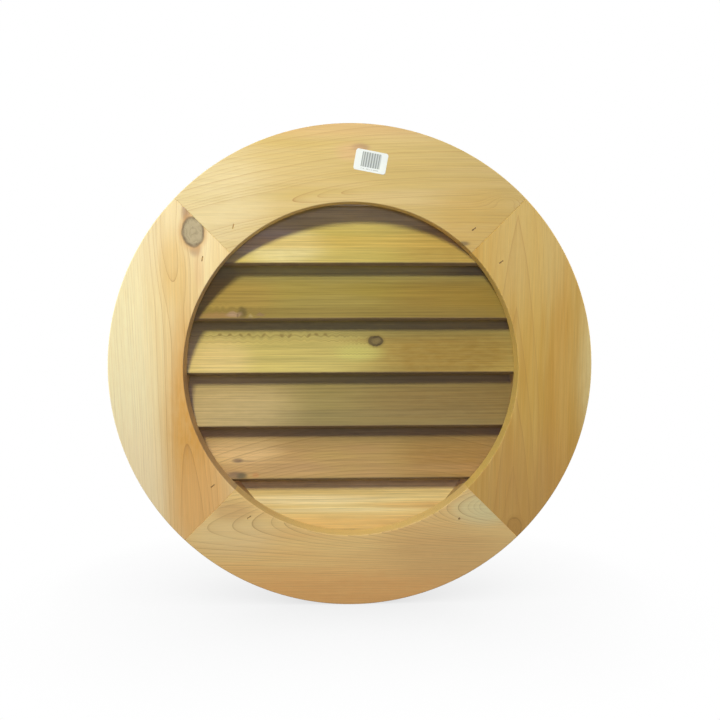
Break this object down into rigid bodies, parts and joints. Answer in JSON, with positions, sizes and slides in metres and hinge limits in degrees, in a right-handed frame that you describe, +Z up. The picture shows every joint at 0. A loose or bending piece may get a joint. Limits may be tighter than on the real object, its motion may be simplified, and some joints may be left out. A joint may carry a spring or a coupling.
{
  "type": "round gable vent",
  "caption": "Round cedar gable vent with a mitred face ring, fixed sloping slats in an octagonal sleeve, and an insect screen on the back, for venting an attic wall",
  "frame": {"origin": "on the vent's axis, in the plane of the face ring's back, which lies on the wall", "axes": "+Z up, +Y into the wall along the vent's axis, +X to the right seen from the front"},
  "size_m": [0.508, 0.0845, 0.508],
  "materials": {
    "ring_cedar": "planed bare western red cedar, matt",
    "sleeve_cedar": "sawn bare western red cedar, matt",
    "slat_cedar": "planed bare western red cedar, matt",
    "staple_steel": "resin-coated wire",
    "screen_wire": "galvanised welded wire",
    "label_paper": "matt paper label with plain grey bars"
  },
  "bodies": {
    "root": {"ring_right": "ring_cedar", "ring_top": "ring_cedar", "ring_left": "ring_cedar", "ring_bottom": "ring_cedar", "sleeve_right": "sleeve_cedar", "sleeve_upper_right": "sleeve_cedar", "sleeve_top": "sleeve_cedar", "sleeve_upper_left": "sleeve_cedar", "sleeve_left": "sleeve_cedar", "sleeve_lower_left": "sleeve_cedar", "sleeve_bottom": "sleeve_cedar", "sleeve_lower_right": "sleeve_cedar", "slat_1": "slat_cedar", "slat_2": "slat_cedar", "slat_3": "slat_cedar", "slat_4": "slat_cedar", "slat_5": "slat_cedar", "slat_6": "slat_cedar", "face_staples": "staple_steel", "face_nail": "staple_steel", "corner_staples": "staple_steel", "slat_staples": "staple_steel", "screen_staples": "staple_steel", "screen": "screen_wire", "label": "label_paper"}
  },
  "joints": []
}
